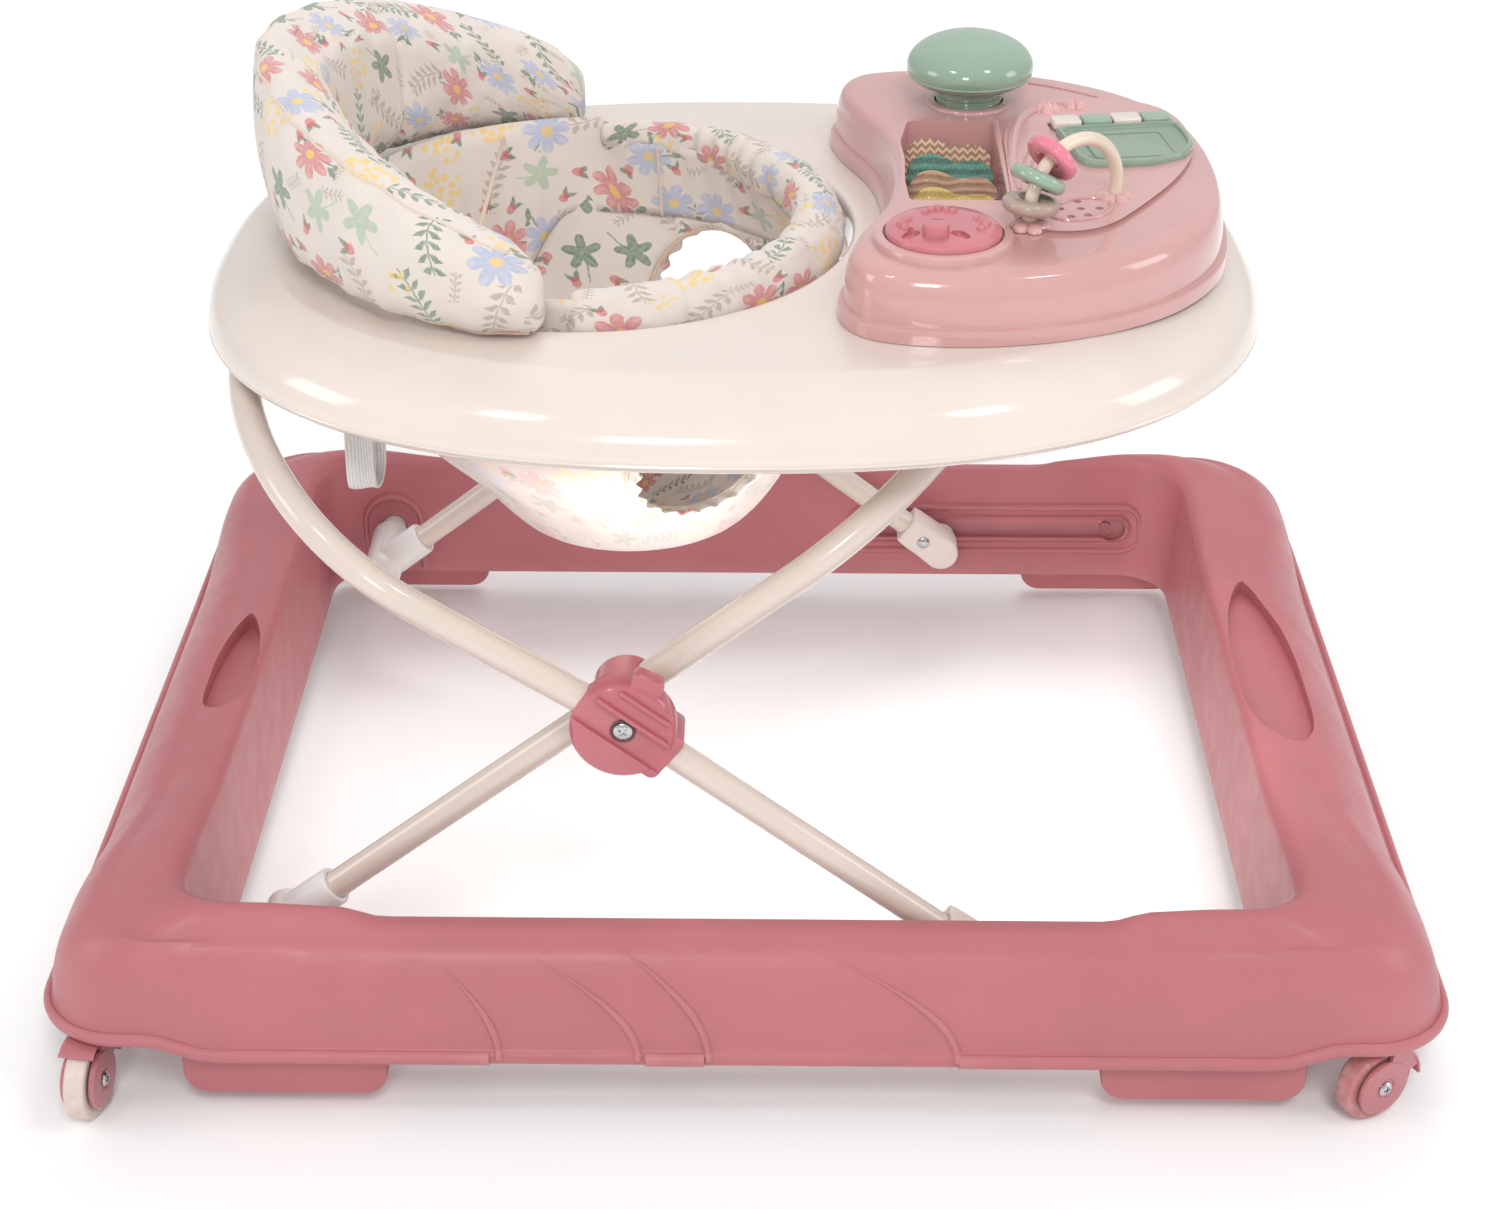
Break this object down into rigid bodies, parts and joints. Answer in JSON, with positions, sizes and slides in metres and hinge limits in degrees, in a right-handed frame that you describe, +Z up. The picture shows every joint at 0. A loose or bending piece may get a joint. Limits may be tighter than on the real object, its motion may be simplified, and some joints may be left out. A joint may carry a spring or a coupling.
{
  "type": "baby walker",
  "caption": "Folding baby walker: moulded base ring on swivel casters, scissor frame of bent tubes, oval tray, floral fabric seat and lift-off play console.",
  "frame": {"origin": "on the floor under the middle of the base ring", "axes": "+X to the front (play console), +Y to the far side, +Z up"},
  "size_m": [0.7034, 0.587, 0.4632],
  "materials": {
    "pink_base": "satin moulded",
    "pink_gloss": "gloss",
    "pale_pink": "gloss",
    "cream_gloss": "gloss",
    "cream_satin": "satin",
    "cream_tube": "powder coat",
    "white_plastic": "satin",
    "mint": "gloss",
    "taupe": "gloss",
    "rose": "gloss",
    "tread": "matt",
    "steel": "polished",
    "printed_fabric": "woven print",
    "webbing": "woven webbing",
    "board_green": "matt",
    "speaker_black": "matt",
    "leaf_1": "satin",
    "leaf_2": "satin",
    "leaf_3": "satin",
    "leaf_4": "satin"
  },
  "bodies": {
    "base": {"base_ring": "pink_base", "stop_block_front_near": "pink_base", "stop_block_front_far": "pink_base", "stop_block_rear_near": "pink_base", "stop_block_rear_far": "pink_base"},
    "swivel_front_near": {"caster_fork_front_near": "pink_gloss", "caster_axle_front_near": "steel"},
    "wheel_front_near": {"caster_wheel_front_near": "tread"},
    "swivel_front_far": {"caster_fork_front_far": "pink_gloss", "caster_axle_front_far": "steel"},
    "wheel_front_far": {"caster_wheel_front_far": "tread"},
    "swivel_rear_near": {"caster_fork_rear_near": "pink_gloss", "caster_axle_rear_near": "steel"},
    "wheel_rear_near": {"caster_wheel_rear_near": "tread"},
    "swivel_rear_far": {"caster_fork_rear_far": "pink_gloss", "caster_axle_rear_far": "steel"},
    "wheel_rear_far": {"caster_wheel_rear_far": "tread"},
    "front_leg": {"front_leg_tube": "cream_tube", "pivot_boss_near": "white_plastic", "hub_inner_near": "pink_gloss", "pivot_boss_far": "white_plastic", "hub_inner_far": "pink_gloss"},
    "rear_leg": {"rear_leg_tube": "cream_tube", "slider_clevis_near": "cream_satin", "hub_outer_near": "pink_gloss", "hub_rivet_near": "steel", "slider_clevis_far": "cream_satin", "hub_outer_far": "pink_gloss", "hub_rivet_far": "steel"},
    "tray": {"tray_shell": "cream_gloss", "rear_bar_clip_near": "cream_satin", "rear_bar_clip_far": "cream_satin", "front_bar_rack": "cream_satin", "seat_sling": "printed_fabric", "back_cushion": "printed_fabric", "collar_pad": "printed_fabric", "seat_strap": "webbing"},
    "roller_near": {"slider_roller_near": "white_plastic"},
    "roller_far": {"slider_roller_far": "white_plastic"},
    "height_lock": {"height_lock": "pink_gloss"},
    "console": {"console_shell": "pale_pink", "console_base_plate": "white_plastic", "circuit_board": "board_green", "speaker": "speaker_black", "battery_door": "pale_pink", "bead_arch": "cream_gloss", "key_panel": "mint"},
    "mushroom": {"mushroom_button": "mint"},
    "dial": {"dial": "pink_gloss"},
    "page_1": {"page_1": "leaf_1"},
    "page_2": {"page_2": "leaf_2"},
    "page_3": {"page_3": "leaf_3"},
    "page_4": {"page_4": "leaf_4"},
    "key_1": {"key_1": "cream_gloss"},
    "key_2": {"key_2": "mint"},
    "key_3": {"key_3": "cream_gloss"},
    "key_4": {"key_4": "mint"},
    "ring_3": {"ring_3": "rose"},
    "ring_2": {"ring_2": "mint"},
    "ring_1": {"ring_1": "taupe"}
  },
  "joints": [
    {"name": "swivel_turn_front_near", "type": "hinge", "parent": "base", "child": "swivel_front_near", "pos_m": [0.326, -0.259, 0.05], "axis": [0, 0, 1], "continuous": true},
    {"name": "wheel_spin_front_near", "type": "hinge", "parent": "swivel_front_near", "child": "wheel_front_near", "pos_m": [0.31455, -0.26615, 0.021], "axis": [0.5299, -0.848, 0], "continuous": true},
    {"name": "swivel_turn_front_far", "type": "hinge", "parent": "base", "child": "swivel_front_far", "pos_m": [0.326, 0.259, 0.05], "axis": [0, 0, 1], "continuous": true},
    {"name": "wheel_spin_front_far", "type": "hinge", "parent": "swivel_front_far", "child": "wheel_front_far", "pos_m": [0.31455, 0.26615, 0.021], "axis": [-0.5299, -0.848, 0], "continuous": true},
    {"name": "swivel_turn_rear_near", "type": "hinge", "parent": "base", "child": "swivel_rear_near", "pos_m": [-0.326, -0.259, 0.05], "axis": [0, 0, 1], "continuous": true},
    {"name": "wheel_spin_rear_near", "type": "hinge", "parent": "swivel_rear_near", "child": "wheel_rear_near", "pos_m": [-0.32788, -0.27237, 0.021], "axis": [0.9903, -0.1392, 0], "continuous": true},
    {"name": "swivel_turn_rear_far", "type": "hinge", "parent": "base", "child": "swivel_rear_far", "pos_m": [-0.326, 0.259, 0.05], "axis": [0, 0, 1], "continuous": true},
    {"name": "wheel_spin_rear_far", "type": "hinge", "parent": "swivel_rear_far", "child": "wheel_rear_far", "pos_m": [-0.32788, 0.27237, 0.021], "axis": [-0.9903, -0.1392, 0], "continuous": true},
    {"name": "leg_fold", "type": "hinge", "parent": "base", "child": "front_leg", "pos_m": [-0.2385, 0, 0.058], "axis": [0, 1, 0], "range_deg": [0, 22]},
    {"name": "hub_pivot", "type": "hinge", "parent": "front_leg", "child": "rear_leg", "pos_m": [-0.05855, 0, 0.19797], "axis": [0, 1, 0], "range_deg": [-44, 0]},
    {"name": "tray_pivot", "type": "hinge", "parent": "rear_leg", "child": "tray", "pos_m": [-0.25676, 0, 0.32606], "axis": [0, 1, 0], "range_deg": [0, 22]},
    {"name": "roller_spin_near", "type": "hinge", "parent": "rear_leg", "child": "roller_near", "pos_m": [0.1214, 0, 0.058], "axis": [0, 1, 0], "continuous": true},
    {"name": "roller_spin_far", "type": "hinge", "parent": "rear_leg", "child": "roller_far", "pos_m": [0.1214, 0, 0.058], "axis": [0, 1, 0], "continuous": true},
    {"name": "height_lock_pull", "type": "slide", "parent": "tray", "child": "height_lock", "axis": [0, 0, -1], "range_m": [0, 0.008], "stiffness_N_per_m": 250, "springref_m": -0.004},
    {"name": "console_lift", "type": "slide", "parent": "tray", "child": "console", "axis": [0, 0, 1], "range_m": [0, 0.1]},
    {"name": "mushroom_press", "type": "slide", "parent": "console", "child": "mushroom", "axis": [0, 0, -1], "range_m": [0, 0.005], "stiffness_N_per_m": 400, "springref_m": -0.006},
    {"name": "dial_turn", "type": "hinge", "parent": "console", "child": "dial", "pos_m": [0.094, -0.108, 0.404], "axis": [0, 0, 1], "continuous": true},
    {"name": "page_turn_1", "type": "hinge", "parent": "console", "child": "page_1", "pos_m": [0.104, 0.029, 0.3805], "axis": [1, 0, 0], "range_deg": [-20, 20]},
    {"name": "page_turn_2", "type": "hinge", "parent": "console", "child": "page_2", "pos_m": [0.104, 0.005, 0.3805], "axis": [1, 0, 0], "range_deg": [-20, 20]},
    {"name": "page_turn_3", "type": "hinge", "parent": "console", "child": "page_3", "pos_m": [0.104, -0.019, 0.3805], "axis": [1, 0, 0], "range_deg": [-20, 20]},
    {"name": "page_turn_4", "type": "hinge", "parent": "console", "child": "page_4", "pos_m": [0.104, -0.043, 0.3805], "axis": [1, 0, 0], "range_deg": [-20, 20]},
    {"name": "key_press_1", "type": "slide", "parent": "console", "child": "key_1", "axis": [0, 0, -1], "range_m": [0, 0.0015], "stiffness_N_per_m": 250, "springref_m": -0.001},
    {"name": "key_press_2", "type": "slide", "parent": "console", "child": "key_2", "axis": [0, 0, -1], "range_m": [0, 0.0015], "stiffness_N_per_m": 250, "springref_m": -0.001},
    {"name": "key_press_3", "type": "slide", "parent": "console", "child": "key_3", "axis": [0, 0, -1], "range_m": [0, 0.0015], "stiffness_N_per_m": 250, "springref_m": -0.001},
    {"name": "key_press_4", "type": "slide", "parent": "console", "child": "key_4", "axis": [0, 0, -1], "range_m": [0, 0.0015], "stiffness_N_per_m": 250, "springref_m": -0.001},
    {"name": "ring_slide_3", "type": "hinge", "parent": "console", "child": "ring_3", "pos_m": [0.15925, -0.0735, 0.41198], "axis": [-0.6393, 0.7689, 0], "range_deg": [0, 114]},
    {"name": "ring_slide_2", "type": "hinge", "parent": "console", "child": "ring_2", "pos_m": [0.15925, -0.0735, 0.41198], "axis": [-0.6393, 0.7689, 0], "range_deg": [0, 69]},
    {"name": "ring_slide_1", "type": "hinge", "parent": "console", "child": "ring_1", "pos_m": [0.15925, -0.0735, 0.41198], "axis": [-0.6393, 0.7689, 0], "range_deg": [0, 35]}
  ],
  "couplings": [
    {"joint": "hub_pivot", "follows": "leg_fold", "ratio": -2},
    {"joint": "tray_pivot", "follows": "leg_fold", "ratio": 1},
    {"joint": "ring_slide_2", "follows": "ring_slide_3", "ratio": 0.6},
    {"joint": "ring_slide_1", "follows": "ring_slide_3", "ratio": 0.3}
  ]
}
